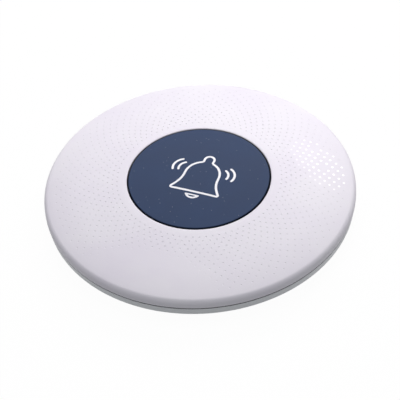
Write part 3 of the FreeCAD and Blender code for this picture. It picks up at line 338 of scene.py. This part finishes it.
def cell_faces(count, loops, middle, upward):
    """Quads between the loops of each cell, and a fan to its middle point where it has one."""
    size = loops * LOOP_STEPS + int(middle)
    step = np.arange(LOOP_STEPS)
    beside = (step + 1) % LOOP_STEPS
    loop = np.arange(loops - 1)[:, None] * LOOP_STEPS
    inner = loop + LOOP_STEPS
    quads = np.stack((loop + step, loop + beside, inner + beside, inner + step), axis=2)
    last = (loops - 1) * LOOP_STEPS
    fans = np.stack((last + step, last + beside, np.full(LOOP_STEPS, loops * LOOP_STEPS)), axis=1)
    first = np.arange(count)[:, None, None] * size
    faces = (first + quads.reshape(1, -1, 4)).reshape(-1, 4)
    faces = (faces[:, ::-1] if upward else faces).tolist()
    if middle:
        fans = (first + fans[None]).reshape(-1, 3)
        faces += (fans[:, ::-1] if upward else fans).tolist()
    return faces


def cell_block(radius, angle, loops, upward, middle_depth=None, inset=0.0):
    """Points and faces of many like cells. A cell is its loops, from the border in, and its middle point."""
    parts = list(loops)
    if middle_depth is not None:
        level = dome_level(radius, inset) - middle_depth
        middle = np.stack((radius * np.cos(angle), radius * np.sin(angle), level), axis=1)
        parts.append(middle[:, None])
    points = np.concatenate(parts, axis=1).reshape(-1, 3)
    return points, cell_faces(len(radius), len(loops), middle_depth is not None, upward)


def make_cover():
    """White cover: cells of the dome outside and inside, and lathe grids for the rim and for the opening.

    A dimple has a flat floor and a steep wall, and a narrow ring of the dome round its brim keeps its
    shading.
    """
    radius, angle, kind, row = lattice()
    blocks = []
    pick = kind == DIMPLE
    loops = [cell_border(radius[pick], angle[pick], 0.0)]
    depths = dimple_depths(radius[pick], angle[pick])
    for share, sunk in zip(DIMPLE_RING_SHARES, DIMPLE_SUNK_SHARES):
        size = share * DIMPLE_RADIUS
        loops.append(cell_ring(radius[pick], angle[pick], size, 0.0, sunk * depths[:, None]))
    blocks.append(cell_block(radius[pick], angle[pick], loops, True, depths))
    pick = kind == PLAIN
    loops = [cell_border(radius[pick], angle[pick], 0.0)]
    blocks.append(cell_block(radius[pick], angle[pick], loops, True, 0.0))
    pick = kind == HOLE
    loops = [
        cell_border(radius[pick], angle[pick], 0.0),
        cell_ring(radius[pick], angle[pick], HOLE_RADIUS, 0.0),
        cell_ring(radius[pick], angle[pick], HOLE_RADIUS, COVER_WALL),
        cell_border(radius[pick], angle[pick], COVER_WALL),
    ]
    blocks.append(cell_block(radius[pick], angle[pick], loops, True))
    pick = (kind != HOLE) & (row >= FIRST_INNER_ROW)
    loops = [cell_border(radius[pick], angle[pick], COVER_WALL)]
    blocks.append(cell_block(radius[pick], angle[pick], loops, False, 0.0, COVER_WALL))

    cells_end = FIRST_ROW + (ROW_COUNT - 0.5) * ROW_PITCH
    inner_radius = BODY_RADIUS - SIDE_WALL
    blocks.append(lathe(np.concatenate((
        [(cells_end, dome_level(cells_end, COVER_WALL))],
        [(inner_radius, dome_level(inner_radius, COVER_WALL))],
        [(inner_radius, COVER_BOTTOM)],
        arc((BODY_RADIUS - LOWER_FILLET, COVER_BOTTOM + LOWER_FILLET), LOWER_FILLET, -math.pi / 2, 0.0),
        edge_round(BODY_RADIUS - RIM_FILLET, RIM_FILLET, 0.0, None),
        [(cells_end, dome_level(cells_end))],
    ))))
    cells_start = FIRST_ROW - 0.5 * ROW_PITCH
    inner_start = FIRST_ROW + (FIRST_INNER_ROW - 0.5) * ROW_PITCH
    seat_level = dome_level(OPENING_RADIUS) - SEAT_THICKNESS
    guide_bottom = seat_level - GUIDE_DEPTH
    guide_outer = GUIDE_INNER + GUIDE_WALL
    blocks.append(lathe(np.concatenate((
        [(cells_start, dome_level(cells_start))],
        edge_round(OPENING_RADIUS + OPENING_FILLET, OPENING_FILLET, None, math.pi),
        [(OPENING_RADIUS, seat_level)],
        [(GUIDE_INNER, seat_level)],
        [(GUIDE_INNER, guide_bottom)],
        [(guide_outer, guide_bottom)],
        [(guide_outer, dome_level(guide_outer, COVER_WALL))],
        [(inner_start, dome_level(inner_start, COVER_WALL))],
    ))))
    cover = new_piece("cover_skin", *join_blocks(blocks), "housing")
    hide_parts("top_cover")
    return cover


def make_return_dome():
    """Silicone dome: a seat ring, a thin conical web and a crown ring."""
    low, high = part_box("return_dome")
    seat_reach, bottom, top = high[0], low[2], high[2]
    seat_top = bottom + SEAT_HEIGHT
    crown_low = top - CROWN_HEIGHT
    dome = new_piece("return_dome_skin", *lathe([
        (seat_reach, bottom),
        (seat_reach, seat_top),
        (seat_reach - SEAT_WIDTH + WEB, seat_top),
        (CROWN_REACH, crown_low),
        (CROWN_REACH, top),
        (CROWN_REACH - CROWN_WIDTH, top),
        (CROWN_REACH - CROWN_WIDTH, crown_low),
        (CROWN_REACH - WEB, crown_low),
        (seat_reach - SEAT_WIDTH, seat_top),
        (seat_reach - SEAT_WIDTH, bottom),
        (seat_reach, bottom),
    ]), "housing")
    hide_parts("return_dome")
    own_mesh(dome)
    return dome


def even(path):
    """The same path with points at even steps of its length."""
    gaps = np.hypot(*np.diff(path, axis=0).T)
    path = path[np.concatenate(([True], gaps > WELD))]
    length = np.concatenate(([0.0], np.cumsum(np.hypot(*np.diff(path, axis=0).T))))
    place = np.linspace(0, length[-1], max(FEWEST_STEPS, round(length[-1] / STROKE_STEP)))
    return np.column_stack([np.interp(place, length, path[:, axis]) for axis in (0, 1)])


def bell_strokes():
    """Middle line and width of each of the bell's strokes, from measures in millimetres."""
    knob_radius, knob_level, knob_foot = 1.37, 6.87, 5.45
    shoulder_width, shoulder_height, shoulder_level = 4.95, 5.15, 0.6
    waist_pull, flare_pull = (4.95, -2.2), (5.35, -3.3)
    base_reach, base_level, base_corner, flare_angle = 6.6, -6.33, 0.4, math.radians(32)
    foot_turn = math.acos(knob_radius / shoulder_width)
    turn = np.linspace(foot_turn, 0, ROUND_STEPS)
    shoulder_rise = shoulder_level + shoulder_height * np.sin(turn)
    shoulder = np.column_stack((shoulder_width * np.cos(turn), shoulder_rise))
    corner = arc((base_reach, base_level + base_corner), base_corner, flare_angle, -math.pi / 2)
    side = curve(shoulder[-1], waist_pull, flare_pull, corner[0])
    half = np.concatenate((shoulder, side, corner))
    mirror = np.array((-1, 1))
    body = np.concatenate((half, half[::-1] * mirror))
    knob = np.concatenate((
        [(knob_radius, knob_foot)],
        arc((0, knob_level), knob_radius, 0, math.pi, ROUND_STEPS),
        [(-knob_radius, knob_foot)],
    ))
    clapper_level, clapper_radius, clapper_end = -6.7, 1.98, math.radians(25)
    clapper_top_reach, clapper_top_level = 2.12, -7.62
    clapper = arc((0, clapper_level), clapper_radius, -clapper_end, clapper_end - math.pi, ROUND_STEPS)
    clapper_top = np.array(((-clapper_top_reach, clapper_top_level), (clapper_top_reach, clapper_top_level)))
    far_middle, far_radius, far_ends = (5.8, 2.1), 3.36, np.radians((70, -31))
    near_middle, near_radius, near_ends = (4.9, 1.87), 2.5, np.radians((69, -28))
    far_ring = arc(far_middle, far_radius, *far_ends, CURVE_STEPS)
    near_ring = arc(near_middle, near_radius, *near_ends, CURVE_STEPS)
    inward = np.array((-0.16, 0.0))
    rings = [far_ring + inward, near_ring + inward, far_ring * mirror, near_ring * mirror]
    strokes = [(path * MM, STROKE) for path in [body, knob] + rings]
    return strokes + [(clapper * MM, CLAPPER_STROKE), (clapper_top * MM, CLAPPER_TOP_STROKE)]


def ribbon(path, width):
    """A stroke of ink: a flat section carried along a path on the cap, closing as a half circle at each end.

    At a distance d from an end, less than half the width w, half of its width is the root of
    w²/4 - (w/2 - d)².
    """
    path = even(path)
    steps = np.hypot(*np.diff(path, axis=0).T)
    place = np.concatenate(([0.0], np.cumsum(steps)))
    tangent = np.gradient(path, axis=0)
    tangent /= np.hypot(*tangent.T)[:, None]
    normal = np.column_stack((-tangent[:, 1], tangent[:, 0]))
    to_end = np.minimum(place, place[-1] - place)
    rest = np.clip(width / 2 - to_end, 0, width / 2)
    half = np.sqrt(np.square(width / 2) - np.square(rest))
    heights = np.array((-INK_SINK, INK_THICKNESS, INK_THICKNESS, -INK_SINK))
    plan = path[:, None] + normal[:, None] * (half[:, None] * np.array(INK_SIDES))[..., None]
    cos, sin = math.cos(PRINT_TURN), math.sin(PRINT_TURN)
    east = plan[..., 0] * cos - plan[..., 1] * sin + PRINT_SHIFT[0]
    north = plan[..., 0] * sin + plan[..., 1] * cos + PRINT_SHIFT[1]
    level = dome_level(np.hypot(east, north)) + heights
    points = np.stack((east, north, level), axis=2).reshape(-1, 3)
    return points, ring_quads(len(path), len(INK_SIDES))[:, ::-1].tolist()


def make_bell_print():
    """Bell with ringing arcs, printed on the cap in one colour."""
    blocks = [ribbon(path, width) for path, width in bell_strokes()]
    return new_piece("bell_print", *join_blocks(blocks), "button")


def wire(tree, source, target):
    """Link an output socket to an input socket."""
    tree.links.new(source, target)


def add(tree, kind, **values):
    """A shader node with its settings, and its inputs where the name is a socket's."""
    node = tree.nodes.new(kind)
    for name, value in values.items():
        socket = node.inputs.get(name.replace("_", " "))
        if socket is not None and not hasattr(node, name):
            socket.default_value = value
        else:
            setattr(node, name, value)
    return node


def new_group(name, inputs, outputs):
    """An empty node group with named float inputs and typed outputs."""
    tree = bpy.data.node_groups.new(name, "ShaderNodeTree")
    for label, value in inputs:
        socket = tree.interface.new_socket(label, in_out="INPUT", socket_type="NodeSocketFloat")
        socket.default_value = value
    for label, kind in outputs:
        tree.interface.new_socket(label, in_out="OUTPUT", socket_type=kind)
    return tree, tree.nodes.new("NodeGroupInput"), tree.nodes.new("NodeGroupOutput")


def grain_group():
    """Moulded surface: a fine pebble height and a slow cloud value, both from Object coordinates."""
    tree, ins, outs = new_group("moulded_grain", [("Grain", GRAIN_SCALE), ("Cloud", CLOUD_SCALE)],
                                [("Height", "NodeSocketFloat"), ("Cloud", "NodeSocketFloat")])
    place = add(tree, "ShaderNodeTexCoord")
    fine = add(tree, "ShaderNodeTexNoise", Detail=2.0, Roughness=0.55)
    slow = add(tree, "ShaderNodeTexNoise", Detail=3.0, Roughness=0.5)
    wire(tree, place.outputs["Object"], fine.inputs["Vector"])
    wire(tree, place.outputs["Object"], slow.inputs["Vector"])
    wire(tree, ins.outputs["Grain"], fine.inputs["Scale"])
    wire(tree, ins.outputs["Cloud"], slow.inputs["Scale"])
    wire(tree, fine.outputs["Fac"], outs.inputs["Height"])
    wire(tree, slow.outputs["Fac"], outs.inputs["Cloud"])
    return tree


def speck_group():
    """Fine dust: a mask of small round specks at the middles of scattered cells."""
    tree, ins, outs = new_group("dust_specks", [("Scale", 1300.0), ("Size", 0.13), ("Share", 0.06)],
                                [("Mask", "NodeSocketFloat")])
    place = add(tree, "ShaderNodeTexCoord")
    cells = add(tree, "ShaderNodeTexVoronoi", feature="F1")
    wire(tree, place.outputs["Object"], cells.inputs["Vector"])
    wire(tree, ins.outputs["Scale"], cells.inputs["Scale"])
    near = add(tree, "ShaderNodeMath", operation="LESS_THAN")
    wire(tree, cells.outputs["Distance"], near.inputs[0])
    wire(tree, ins.outputs["Size"], near.inputs[1])
    chosen = add(tree, "ShaderNodeSeparateColor")
    wire(tree, cells.outputs["Color"], chosen.inputs["Color"])
    rare = add(tree, "ShaderNodeMath", operation="LESS_THAN")
    wire(tree, chosen.outputs["Red"], rare.inputs[0])
    wire(tree, ins.outputs["Share"], rare.inputs[1])
    both = add(tree, "ShaderNodeMath", operation="MULTIPLY")
    wire(tree, near.outputs[0], both.inputs[0])
    wire(tree, rare.outputs[0], both.inputs[1])
    wire(tree, both.outputs[0], outs.inputs["Mask"])
    return tree


def place_group():
    """Distance from the upright axis, and distance from it away from the camera, from Object coordinates."""
    tree, _, outs = new_group("place_on_puck", [],
                              [("Reach", "NodeSocketFloat"), ("Rearward", "NodeSocketFloat")])
    place = add(tree, "ShaderNodeTexCoord")
    flat = add(tree, "ShaderNodeVectorMath", operation="MULTIPLY")
    flat.inputs[1].default_value = (1, 1, 0)
    wire(tree, place.outputs["Object"], flat.inputs[0])
    reach = add(tree, "ShaderNodeVectorMath", operation="LENGTH")
    wire(tree, flat.outputs[0], reach.inputs[0])
    rearward = add(tree, "ShaderNodeVectorMath", operation="DOT_PRODUCT")
    rearward.inputs[1].default_value = (-math.sin(CAMERA_AZIMUTH), math.cos(CAMERA_AZIMUTH), 0)
    wire(tree, place.outputs["Object"], rearward.inputs[0])
    wire(tree, reach.outputs["Value"], outs.inputs["Reach"])
    wire(tree, rearward.outputs["Value"], outs.inputs["Rearward"])
    return tree


GRAIN = grain_group()
SPECKS = speck_group()
PLACE = place_group()


def colour_inputs(node):
    """The two colour sockets of a mix node."""
    return [socket for socket in node.inputs if socket.type == "RGBA"]


def colour_output(node):
    """The colour socket that a mix node gives out."""
    return next(socket for socket in node.outputs if socket.type == "RGBA")


def use_group(tree, group, **values):
    """Place a node group with its own values."""
    node = tree.nodes.new("ShaderNodeGroup")
    node.node_tree = group
    for name, value in values.items():
        node.inputs[name].default_value = value
    return node


def ramp(tree, source, start, end):
    """A value that goes through the end span while the source goes through the start span."""
    node = add(tree, "ShaderNodeMapRange")
    for label, value in zip(("From Min", "From Max", "To Min", "To Max"), (*start, *end)):
        node.inputs[label].default_value = value
    wire(tree, source, node.inputs["Value"])
    return node.outputs["Result"]


def product(tree, first, second):
    """Two values multiplied."""
    node = add(tree, "ShaderNodeMath", operation="MULTIPLY")
    wire(tree, first, node.inputs[0])
    wire(tree, second, node.inputs[1])
    return node.outputs[0]


def cover_painted_shade(tree):
    """Share of the cover's colour, as painted shade: little on the opening's wall, a bit less than all on
    the outer ring in front.
    """
    place = use_group(tree, PLACE)
    # Painted shade on the opening's wall in the gap round the cap
    wall_span = [OPENING_RADIUS + edge for edge in GAP_RAMP]
    wall = ramp(tree, place.outputs["Reach"], wall_span, (GAP_PAINTED_SHADE_SHARE, 1.0))
    # Painted shade on the outer ring, deeper towards the front
    outer = ramp(tree, place.outputs["Reach"], RING_RADII, (0.0, 1.0))
    front = ramp(tree, place.outputs["Rearward"], RING_REARWARD, (RING_PAINTED_SHADE, 0.0))
    ring = ramp(tree, product(tree, outer, front), (0.0, 1.0), (1.0, 0.0))
    return product(tree, wall, ring)


def cap_painted_shade(tree):
    """Share of the cap's colour, as painted shade: little on its side wall in the gap."""
    place = use_group(tree, PLACE)
    # Painted shade on the cap's side wall in the gap
    wall_span = [CAP_RADIUS - edge for edge in GAP_RAMP[::-1]]
    return ramp(tree, place.outputs["Reach"], wall_span, (1.0, GAP_PAINTED_SHADE_SHARE))


def finish(name, low, high, rough, bump, grain=GRAIN_SCALE, cloud=CLOUD_SCALE, metallic=0.0, specks=0.0,
           specular=0.5, shade=None):
    """A material whose colour drifts between two tints, with its own roughness, grain, dust and painted
    shade.
    """
    made = bpy.data.materials.new(name)
    made.use_nodes = True
    tree = made.node_tree
    shader = tree.nodes["Principled BSDF"]
    shader.inputs["Metallic"].default_value = metallic
    shader.inputs["Specular IOR Level"].default_value = specular
    surface = use_group(tree, GRAIN, Grain=grain, Cloud=cloud)
    tint = add(tree, "ShaderNodeMix", data_type="RGBA")
    for socket, tone in zip(colour_inputs(tint), (low, high)):
        socket.default_value = (*tone, 1)
    wire(tree, ramp(tree, surface.outputs["Cloud"], CLOUD_SPAN, (0.0, 1.0)), tint.inputs["Factor"])
    colour = colour_output(tint)
    if specks:
        dust = use_group(tree, SPECKS, Share=specks)
        dusty = add(tree, "ShaderNodeMix", data_type="RGBA")
        bare, dusted = colour_inputs(dusty)
        wire(tree, dust.outputs["Mask"], dusty.inputs["Factor"])
        wire(tree, colour, bare)
        dusted.default_value = (*DUST_COLOUR, 1)
        colour = colour_output(dusty)
    # Painted shade: the colour is multiplied by a share that is less where shade would fall
    if shade:
        shaded = add(tree, "ShaderNodeMix", data_type="RGBA", blend_type="MULTIPLY")
        shaded.inputs["Factor"].default_value = 1.0
        lit, share = colour_inputs(shaded)
        wire(tree, colour, lit)
        wire(tree, shade(tree), share)
        colour = colour_output(shaded)
    wire(tree, colour, shader.inputs["Base Color"])
    wire(tree, ramp(tree, surface.outputs["Cloud"], (0.0, 1.0), rough), shader.inputs["Roughness"])
    relief = add(tree, "ShaderNodeBump")
    relief.inputs["Strength"].default_value = 1.0
    relief.inputs["Distance"].default_value = bump
    wire(tree, surface.outputs["Height"], relief.inputs["Height"])
    wire(tree, relief.outputs["Normal"], shader.inputs["Normal"])
    return made


def diffuser_finish():
    """Clear guide whose pegs glow, most outside the middle of the patch and less towards its border."""
    made = finish("guide_glow", (0.76, 0.74, 0.8), SHELL_TINTS[1], (0.2, 0.3), 0.0005 * MM)
    tree = made.node_tree
    shader = tree.nodes["Principled BSDF"]
    place = add(tree, "ShaderNodeTexCoord")
    frame_of = add(tree, "ShaderNodeMapping", vector_type="TEXTURE")
    frame_of.inputs["Location"].default_value = (GLOW_CIRCLE * math.cos(PATCH_ANGLE),
                                                 GLOW_CIRCLE * math.sin(PATCH_ANGLE), 0)
    frame_of.inputs["Rotation"].default_value = (0, 0, PATCH_ANGLE + PATCH_TILT)
    frame_of.inputs["Scale"].default_value = (PATCH_HALF_WIDTH, PATCH_HALF_LENGTH, 1)
    wire(tree, place.outputs["Object"], frame_of.inputs["Vector"])
    length = add(tree, "ShaderNodeVectorMath", operation="LENGTH")
    wire(tree, frame_of.outputs["Vector"], length.inputs[0])
    fade = ramp(tree, length.outputs["Value"], GLOW_SPAN, GLOW_SHARES)
    glow = add(tree, "ShaderNodeMix", data_type="RGBA")
    unlit, full = colour_inputs(glow)
    unlit.default_value = (0, 0, 0, 1)
    full.default_value = (1, 1, 1, 1)
    wire(tree, fade, glow.inputs["Factor"])
    wire(tree, colour_output(glow), shader.inputs["Emission Color"])
    shader.inputs["Emission Strength"].default_value = GLOW_STRENGTH
    return made


def dress():
    """Finish of every node, and of the three new pieces."""
    finishes = {
        # Satin white, with painted shade on the opening's wall and on the outer ring in front
        "shell_white": finish("satin_white", *SHELL_TINTS, (0.42, 0.5), 0.002 * MM, specular=0.35,
                              shade=cover_painted_shade),
        # Slate, with painted shade on its side wall in the gap
        "cap_slate": finish("slate_texture", (0.0222, 0.0425, 0.0975), (0.0252, 0.0478, 0.1087),
                            (0.62, 0.72), 0.004 * MM, grain=6000.0, cloud=90.0, specks=0.1, specular=0.2,
                            shade=cap_painted_shade),
        "base_grey": finish("satin_base", (0.7, 0.72, 0.735), (0.74, 0.76, 0.77), (0.4, 0.5), 0.002 * MM),
        "diffuser": diffuser_finish(),
        "seal_dark": finish("seal_black", (0.03, 0.03, 0.033), (0.05, 0.05, 0.052), (0.7, 0.85), 0.01 * MM,
                            specular=0.2),
        "foot_rubber": finish("foot_rubber", (0.035, 0.035, 0.037), (0.06, 0.06, 0.062), (0.65, 0.85),
                              0.012 * MM, grain=4000.0),
        "dome_silicone": finish("silicone", (0.5, 0.52, 0.55), (0.6, 0.62, 0.64), (0.4, 0.55), 0.004 * MM),
        "steel": finish("screw_steel", (0.45, 0.45, 0.46), (0.6, 0.6, 0.61), (0.22, 0.38), 0.002 * MM,
                        metallic=1.0),
        "nickel": finish("cell_nickel", (0.6, 0.58, 0.54), (0.7, 0.68, 0.64), (0.18, 0.32), 0.001 * MM,
                         metallic=1.0),
        "board_green": finish("solder_resist", (0.01, 0.09, 0.035), (0.02, 0.14, 0.06), (0.25, 0.4),
                              0.003 * MM, cloud=400.0),
        "chip_black": finish("chip_black", (0.015, 0.015, 0.016), (0.03, 0.03, 0.032), (0.45, 0.6),
                             0.004 * MM),
        "lamp_clear": finish("lamp_clear", (0.8, 0.8, 0.7), (0.88, 0.88, 0.8), (0.12, 0.2), 0.0005 * MM),
        "copper": finish("bare_copper", (0.6, 0.3, 0.16), (0.75, 0.42, 0.26), (0.25, 0.4), 0.002 * MM,
                         metallic=1.0),
    }
    slots = {row["node"]: row["material_slot"] for row in frame["record"]["subparts"]}
    for name, node in frame["nodes"].items():
        node.data.materials.clear()
        node.data.materials.append(finishes[slots[name]])
    cover = make_cover()
    cover.data.materials.append(finishes["shell_white"])
    make_return_dome().data.materials.append(finishes["dome_silicone"])
    bell = make_bell_print()
    bell.data.materials.append(finish("print_white", (0.82, 0.83, 0.86), (0.88, 0.89, 0.91), (0.4, 0.5),
                                      0.001 * MM))


def make_camera():
    """Camera at the photograph's place: it looks along the back vector, turned by the roll about it."""
    cos_up, sin_up = math.cos(CAMERA_ELEVATION), math.sin(CAMERA_ELEVATION)
    cos_side, sin_side = math.cos(CAMERA_AZIMUTH), math.sin(CAMERA_AZIMUTH)
    back = Vector((sin_side * cos_up, -cos_side * cos_up, sin_up))
    level = Vector((cos_side, sin_side, 0))
    above = back.cross(level)
    right = level * math.cos(CAMERA_ROLL) - above * math.sin(CAMERA_ROLL)
    top = level * math.sin(CAMERA_ROLL) + above * math.cos(CAMERA_ROLL)
    aim = Vector((0, 0, AIM_LEVEL))
    place = aim + back * CAMERA_DISTANCE - right * CAMERA_ASIDE - top * CAMERA_UP
    data = bpy.data.cameras.new("camera")
    data.lens = LENS
    data.sensor_width = SENSOR
    camera = bpy.data.objects.new("camera", data)
    bpy.context.scene.collection.objects.link(camera)
    camera.matrix_world = Matrix.Translation(place) @ Matrix((right, top, back)).transposed().to_4x4()
    data.clip_start = CAMERA_DISTANCE / CLIP_SPAN
    data.clip_end = CAMERA_DISTANCE * CLIP_SPAN
    bpy.context.scene.camera = camera


def softbox(name, turn, lift, power):
    """Square area lamp that looks at the origin from a direction round the camera's own azimuth."""
    data = bpy.data.lights.new(name, "AREA")
    data.shape = "SQUARE"
    data.size = LAMP_SIZE
    data.energy = power
    data.color = LAMP_TINT
    lamp = bpy.data.objects.new(name, data)
    bpy.context.scene.collection.objects.link(lamp)
    side = CAMERA_AZIMUTH + math.radians(turn)
    lift = math.radians(lift)
    back = Vector((math.sin(side) * math.cos(lift), -math.cos(side) * math.cos(lift), math.sin(lift)))
    facing = back.to_track_quat("Z", "Y").to_matrix().to_4x4()
    lamp.matrix_world = Matrix.Translation(back * LAMP_DISTANCE) @ facing


def seen_directly(tree):
    """A mask that is 1 for what the camera sees straight, in a reflection or through a clear piece."""
    path = add(tree, "ShaderNodeLightPath")
    seen = add(tree, "ShaderNodeMath", operation="MAXIMUM")
    wire(tree, path.outputs["Is Camera Ray"], seen.inputs[0])
    wire(tree, path.outputs["Is Glossy Ray"], seen.inputs[1])
    through = add(tree, "ShaderNodeMath", operation="MAXIMUM")
    wire(tree, seen.outputs[0], through.inputs[0])
    wire(tree, path.outputs["Is Transmission Ray"], through.inputs[1])
    return through.outputs[0]


def paper_shader(tree, plain):
    """White for the camera and in reflections, and a plain colour for the light that it gives back.

    The lit share of what is seen keeps the object's shadow, and the rest makes unshadowed paper white.
    """
    white = add(tree, "ShaderNodeEmission")
    white.inputs["Color"].default_value = (1, 1, 1, 1)
    white.inputs["Strength"].default_value = (1 - PAPER_LIT_SHARE * PAPER_GREY) / (1 - PAPER_LIT_SHARE)
    share = add(tree, "ShaderNodeMath", operation="MULTIPLY")
    share.inputs[1].default_value = 1 - PAPER_LIT_SHARE
    wire(tree, seen_directly(tree), share.inputs[0])
    mixed = add(tree, "ShaderNodeMixShader")
    wire(tree, share.outputs[0], mixed.inputs["Fac"])
    wire(tree, plain.outputs[0], mixed.inputs[1])
    wire(tree, white.outputs[0], mixed.inputs[2])
    return mixed


def make_floor():
    """Round white floor under the foot, seen as white with the object's shadow in it."""
    turn = np.linspace(0, 2 * math.pi, FLOOR_CORNERS + 1)[:-1]
    points = np.column_stack((FLOOR_RADIUS * np.cos(turn), FLOOR_RADIUS * np.sin(turn), np.zeros_like(turn)))
    mesh = bpy.data.meshes.new("floor")
    mesh.from_pydata(points.tolist(), [], [list(range(len(turn)))])
    floor = bpy.data.objects.new("floor", mesh)
    bpy.context.scene.collection.objects.link(floor)
    made = bpy.data.materials.new("white_paper")
    made.use_nodes = True
    tree = made.node_tree
    tree.nodes.clear()
    plain = add(tree, "ShaderNodeBsdfDiffuse")
    plain.inputs["Color"].default_value = (PAPER_GREY, PAPER_GREY, PAPER_GREY, 1)
    mixed = paper_shader(tree, plain)
    out = add(tree, "ShaderNodeOutputMaterial")
    wire(tree, mixed.outputs[0], out.inputs["Surface"])
    mesh.materials.append(made)


def make_world():
    """Even pale light all round, seen as white by the camera and in reflections of glossy pieces."""
    world = bpy.data.worlds.new("studio")
    bpy.context.scene.world = world
    world.use_nodes = True
    tree = world.node_tree
    tree.nodes.clear()
    light = add(tree, "ShaderNodeBackground")
    light.inputs["Color"].default_value = (*SURROUND_TINT, 1)
    light.inputs["Strength"].default_value = SURROUND_STRENGTH
    white = add(tree, "ShaderNodeBackground")
    white.inputs["Color"].default_value = (1, 1, 1, 1)
    mixed = add(tree, "ShaderNodeMixShader")
    wire(tree, seen_directly(tree), mixed.inputs["Fac"])
    wire(tree, light.outputs[0], mixed.inputs[1])
    wire(tree, white.outputs[0], mixed.inputs[2])
    out = add(tree, "ShaderNodeOutputWorld")
    wire(tree, mixed.outputs[0], out.inputs["Surface"])


def make_studio():
    """Camera, floor, world, and three lamps: two low ones behind and one overhead."""
    bpy.context.scene.view_settings.view_transform = "Standard"
    make_camera()
    make_floor()
    make_world()
    for lamp in LAMPS:
        softbox(*lamp)


make_studio()
dress()
